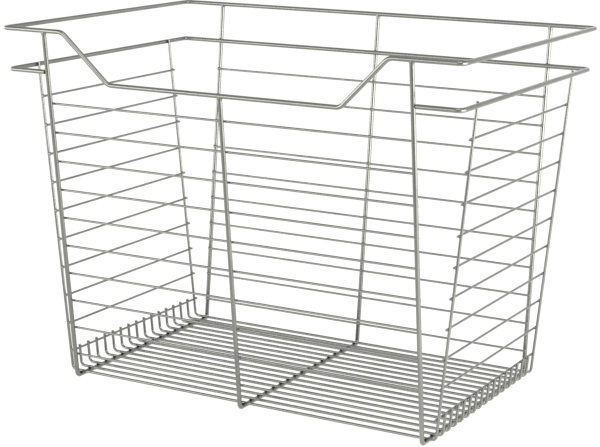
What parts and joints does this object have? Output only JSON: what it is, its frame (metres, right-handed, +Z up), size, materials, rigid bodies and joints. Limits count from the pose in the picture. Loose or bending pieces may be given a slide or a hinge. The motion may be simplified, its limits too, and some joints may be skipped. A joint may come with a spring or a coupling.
{
  "type": "pull-out closet basket",
  "caption": "Open wire basket for a pull-out closet runner, with a double rim, a scooped front, three U-shaped frames, level wall wires and a comb-ended wire floor.",
  "frame": {"origin": "on the ground under the middle of the basket's outline, level with the flat undersides of the three frames", "axes": "+X to the right seen from the front, along the width; +Y to the rear, away from the scooped front; +Z up"},
  "size_m": [0.6058, 0.4058, 0.4469],
  "materials": {
    "satin_nickel_wire": "satin nickel plate on round steel wire"
  },
  "bodies": {
    "root": {"floor_wire_01": "satin_nickel_wire", "floor_wire_02": "satin_nickel_wire", "floor_wire_03": "satin_nickel_wire", "floor_wire_04": "satin_nickel_wire", "floor_wire_05": "satin_nickel_wire", "floor_wire_06": "satin_nickel_wire", "floor_wire_07": "satin_nickel_wire", "floor_wire_09": "satin_nickel_wire", "floor_wire_10": "satin_nickel_wire", "floor_wire_11": "satin_nickel_wire", "floor_wire_12": "satin_nickel_wire", "floor_wire_13": "satin_nickel_wire", "floor_wire_14": "satin_nickel_wire", "floor_wire_15": "satin_nickel_wire", "frame_left": "satin_nickel_wire", "frame_middle": "satin_nickel_wire", "frame_right": "satin_nickel_wire", "front_hoop": "satin_nickel_wire", "front_wire_01": "satin_nickel_wire", "front_wire_02": "satin_nickel_wire", "front_wire_03": "satin_nickel_wire", "front_wire_04": "satin_nickel_wire", "front_wire_05": "satin_nickel_wire", "front_wire_06": "satin_nickel_wire", "front_wire_07": "satin_nickel_wire", "front_wire_08": "satin_nickel_wire", "front_wire_09": "satin_nickel_wire", "front_wire_10": "satin_nickel_wire", "left_wire_02": "satin_nickel_wire", "left_wire_03": "satin_nickel_wire", "left_wire_04": "satin_nickel_wire", "left_wire_05": "satin_nickel_wire", "left_wire_06": "satin_nickel_wire", "left_wire_07": "satin_nickel_wire", "left_wire_08": "satin_nickel_wire", "left_wire_09": "satin_nickel_wire", "left_wire_10": "satin_nickel_wire", "lower_rim": "satin_nickel_wire", "middle_floor_wire_with_rails": "satin_nickel_wire", "rear_hoop": "satin_nickel_wire", "rear_wire_01": "satin_nickel_wire", "rear_wire_02": "satin_nickel_wire", "rear_wire_03": "satin_nickel_wire", "rear_wire_04": "satin_nickel_wire", "rear_wire_05": "satin_nickel_wire", "rear_wire_06": "satin_nickel_wire", "rear_wire_07": "satin_nickel_wire", "rear_wire_08": "satin_nickel_wire", "rear_wire_09": "satin_nickel_wire", "rear_wire_10": "satin_nickel_wire", "right_wire_02": "satin_nickel_wire", "right_wire_03": "satin_nickel_wire", "right_wire_04": "satin_nickel_wire", "right_wire_05": "satin_nickel_wire", "right_wire_06": "satin_nickel_wire", "right_wire_07": "satin_nickel_wire", "right_wire_08": "satin_nickel_wire", "right_wire_09": "satin_nickel_wire", "right_wire_10": "satin_nickel_wire", "upper_rim": "satin_nickel_wire"}
  },
  "joints": []
}
